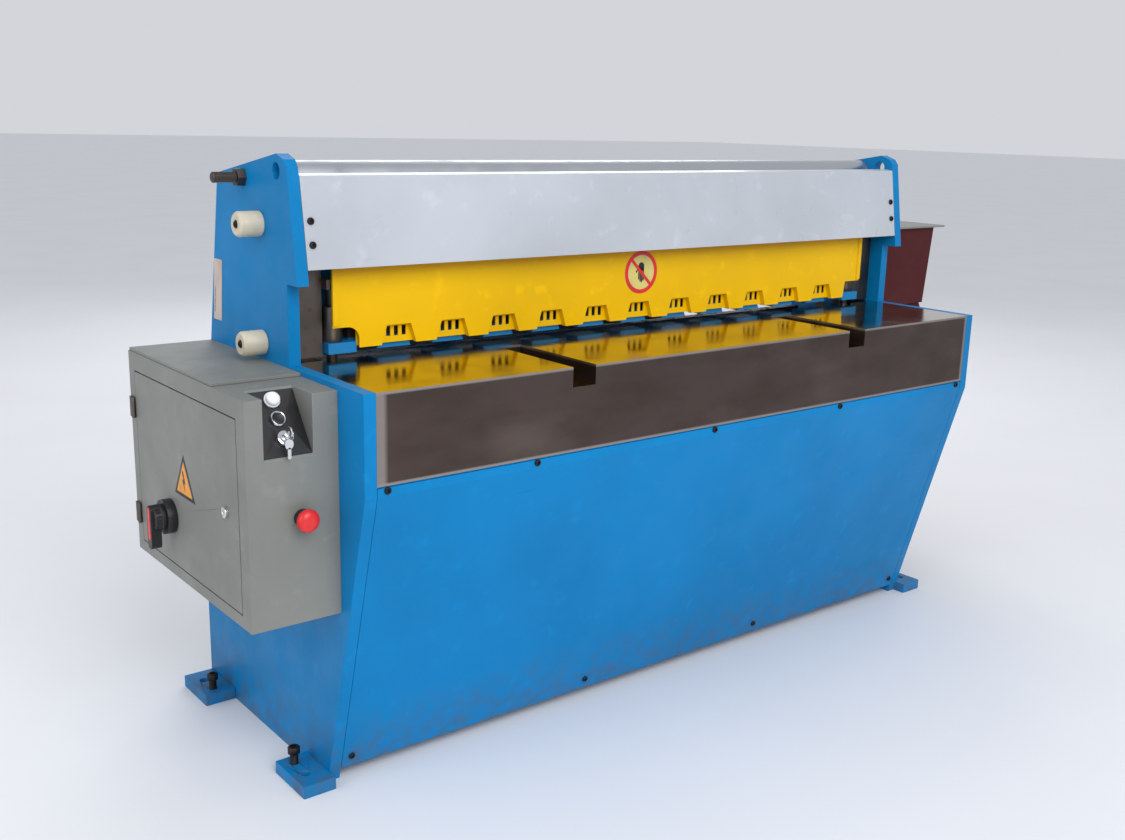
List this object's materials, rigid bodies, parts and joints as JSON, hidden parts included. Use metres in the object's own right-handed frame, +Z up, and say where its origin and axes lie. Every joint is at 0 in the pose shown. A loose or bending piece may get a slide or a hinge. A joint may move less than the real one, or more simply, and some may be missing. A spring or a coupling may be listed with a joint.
{
  "type": "mechanical guillotine shear",
  "caption": "Floor-standing mechanical guillotine shear for sheet metal, with a slotted table, finger guard, raked moving blade, rear gauge and side control cabinet.",
  "frame": {"origin": "on the floor, at the centre of the four anchor holes in the feet", "axes": "+X along the cut to the operator's right, -Y towards the operator, +Z up"},
  "size_m": [2.304, 0.928, 1.137],
  "materials": {
    "blue_paint": "semi-gloss machine enamel",
    "white_grey_paint": "satin enamel",
    "cabinet_paint": "textured powder coat",
    "yellow_paint": "gloss enamel",
    "maroon_paint": "matt red primer",
    "ground_steel": "ground bright",
    "dull_steel": "bare, lightly oiled",
    "table_steel": "machined, oil-stained",
    "rolled_steel": "bright rolled sheet",
    "cast": "as cast",
    "bronze": "machined",
    "chrome": "polished",
    "black_oxide": "black oxide",
    "black_plastic": "matt",
    "red_plastic": "gloss",
    "cream_plastic": "satin nylon",
    "lamp_lens": "milk-white lens",
    "belt_rubber": "matt",
    "label_film": "satin film"
  },
  "bodies": {
    "machine": {"left_frame": "blue_paint", "right_frame": "blue_paint", "feet": "blue_paint", "jack_screws": "black_oxide", "cross_beams": "blue_paint", "table": "table_steel", "lower_blade": "ground_steel", "front_panel": "blue_paint", "front_cover": "white_grey_paint", "top_cover": "rolled_steel", "socket_screws": "black_oxide", "guard_front": "yellow_paint", "guard_inner": "yellow_paint", "guard_brackets": "dull_steel", "safety_sign": "red_plastic", "front_gibs": "dull_steel", "rear_gibs": "dull_steel", "gib_caps": "cream_plastic", "tie_rod": "dull_steel", "tie_rod_nuts": "dull_steel", "side_label": "label_film", "shaft_bushes": "bronze", "motor": "cast", "motor_bracket": "blue_paint", "belts": "belt_rubber", "drive_guard": "maroon_paint", "gear_cover": "maroon_paint", "guard_lid": "cabinet_paint", "gauge_arms": "dull_steel", "cabinet": "cabinet_paint", "cabinet_lid": "cabinet_paint", "door_hinges": "dull_steel", "control_plate": "black_plastic", "signal_lamp": "lamp_lens", "button_ring": "chrome", "key_switch": "chrome", "estop_base": "black_plastic", "electrics": "black_plastic"},
    "hold_down": {"hold_down_beam": "blue_paint", "hold_down_sleeves": "dull_steel"},
    "ram": {"ram": "blue_paint", "upper_blade": "ground_steel"},
    "eccentric_shaft": {"eccentric_shaft": "ground_steel"},
    "left_block": {"left_block": "bronze"},
    "right_block": {"right_block": "bronze"},
    "bull_gear": {"bull_gear": "ground_steel"},
    "flywheel": {"flywheel": "cast", "pinion_shaft": "ground_steel"},
    "motor_pulley": {"motor_pulley": "cast"},
    "lead_screw": {"lead_screw": "ground_steel", "handwheel": "black_plastic"},
    "gauge": {"gauge_bar": "ground_steel"},
    "door": {"door": "cabinet_paint", "isolator_base": "black_plastic", "danger_sign": "yellow_paint"},
    "door_lock": {"door_lock": "chrome"},
    "isolator_handle": {"isolator_handle": "black_plastic"},
    "push_button": {"push_button": "black_plastic"},
    "key": {"key": "chrome"},
    "estop_head": {"estop_head": "red_plastic"}
  },
  "joints": [
    {"name": "eccentric_turn", "type": "hinge", "parent": "machine", "child": "eccentric_shaft", "pos_m": [0, -0.021, 0.45], "axis": [1, 0, 0], "range_deg": [0, 180]},
    {"name": "ram_slide", "type": "slide", "parent": "machine", "child": "ram", "axis": [0, 0, -1], "range_m": [0, 0.06]},
    {"name": "hold_down_slide", "type": "slide", "parent": "machine", "child": "hold_down", "axis": [0, 0, -1], "range_m": [0, 0.0095]},
    {"name": "left_block_turn", "type": "hinge", "parent": "eccentric_shaft", "child": "left_block", "pos_m": [-0.785, -0.021, 0.48], "axis": [1, 0, 0], "range_deg": [-180, 0]},
    {"name": "right_block_turn", "type": "hinge", "parent": "eccentric_shaft", "child": "right_block", "pos_m": [0.785, -0.021, 0.48], "axis": [1, 0, 0], "range_deg": [-180, 0]},
    {"name": "flywheel_spin", "type": "hinge", "parent": "machine", "child": "flywheel", "pos_m": [0.99, 0.16992, 0.64092], "axis": [1, 0, 0], "continuous": true},
    {"name": "bull_gear_spin", "type": "hinge", "parent": "machine", "child": "bull_gear", "pos_m": [0.88, -0.021, 0.45], "axis": [1, 0, 0], "continuous": true},
    {"name": "motor_pulley_spin", "type": "hinge", "parent": "machine", "child": "motor_pulley", "pos_m": [0.99, 0.42, 0.3], "axis": [1, 0, 0], "continuous": true},
    {"name": "lead_screw_turn", "type": "hinge", "parent": "machine", "child": "lead_screw", "pos_m": [0, 0.2, 0.655], "axis": [0, 1, 0], "range_deg": [0, 11880]},
    {"name": "gauge_slide", "type": "slide", "parent": "machine", "child": "gauge", "axis": [0, 1, 0], "range_m": [0, 0.33]},
    {"name": "door_swing", "type": "hinge", "parent": "machine", "child": "door", "pos_m": [-1.014, 0.187, 0.551], "axis": [0, 0, -1], "range_deg": [0, 110]},
    {"name": "lock_turn", "type": "hinge", "parent": "door", "child": "door_lock", "pos_m": [-1.01, -0.232, 0.551], "axis": [1, 0, 0], "range_deg": [-90, 0]},
    {"name": "isolator_turn", "type": "hinge", "parent": "door", "child": "isolator_handle", "pos_m": [-1.04, 0.025, 0.475], "axis": [1, 0, 0], "range_deg": [0, 90]},
    {"name": "button_press", "type": "slide", "parent": "machine", "child": "push_button", "axis": [0, 0.8101, -0.5863], "range_m": [0, 0.004], "stiffness_N_per_m": 400},
    {"name": "key_turn", "type": "hinge", "parent": "machine", "child": "key", "pos_m": [-0.934, -0.29606, 0.67954], "axis": [0, -0.8101, 0.5863], "range_deg": [0, 90]},
    {"name": "estop_press", "type": "slide", "parent": "machine", "child": "estop_head", "axis": [0, 1, 0], "range_m": [0, 0.005]}
  ],
  "couplings": [
    {"joint": "ram_slide", "follows": "eccentric_turn", "m_per_rad": 0.019098},
    {"joint": "hold_down_slide", "follows": "eccentric_turn", "m_per_rad": 0.003023},
    {"joint": "left_block_turn", "follows": "eccentric_turn", "ratio": -1},
    {"joint": "right_block_turn", "follows": "eccentric_turn", "ratio": -1},
    {"joint": "bull_gear_spin", "follows": "flywheel_spin", "ratio": -0.2},
    {"joint": "motor_pulley_spin", "follows": "flywheel_spin", "ratio": 3.0952},
    {"joint": "gauge_slide", "follows": "lead_screw_turn", "m_per_rad": 0.0015915}
  ]
}
